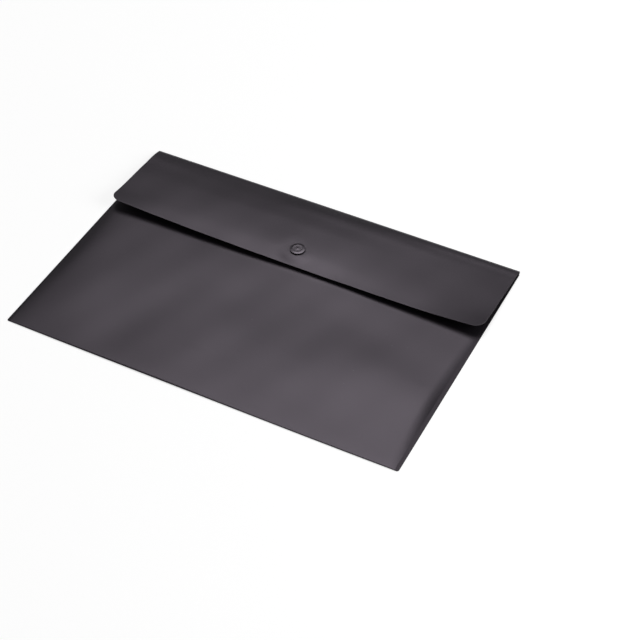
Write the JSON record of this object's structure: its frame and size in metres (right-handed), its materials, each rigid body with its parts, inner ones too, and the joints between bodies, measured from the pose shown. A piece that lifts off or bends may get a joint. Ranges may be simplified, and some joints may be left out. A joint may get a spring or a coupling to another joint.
{
  "type": "document wallet",
  "caption": "Flat landscape document wallet folded from one black plastic sheet, with welded sides, a full-width creased flap and a press stud that holds it shut.",
  "frame": {"origin": "centre of the footprint, on the outside of the back panel", "axes": "+X along the flap crease to the right as seen from the front, +Y towards the crease, +Z out of the front with the flap on top"},
  "size_m": [0.332, 0.228, 0.0108],
  "materials": {
    "sheet": "fine matt grain, black polypropylene sheet",
    "weld": "fused edge, slightly smoother than the sheet",
    "stud": "satin moulded plastic"
  },
  "bodies": {
    "pocket": {"back_panel": "sheet", "bottom_fold": "sheet", "left_weld": "weld", "right_weld": "weld", "front_panel": "sheet", "flap_crease": "sheet", "button_stud": "stud", "stud_rivet": "stud"},
    "flap": {"flap": "sheet", "button_cap": "stud", "button_socket": "stud"}
  },
  "joints": [
    {"name": "flap_hinge", "type": "hinge", "parent": "pocket", "child": "flap", "pos_m": [0, 0.1126, 0.0014], "axis": [-1, 0, 0], "range_deg": [0, 170], "deforming": ["flap_crease"]}
  ]
}
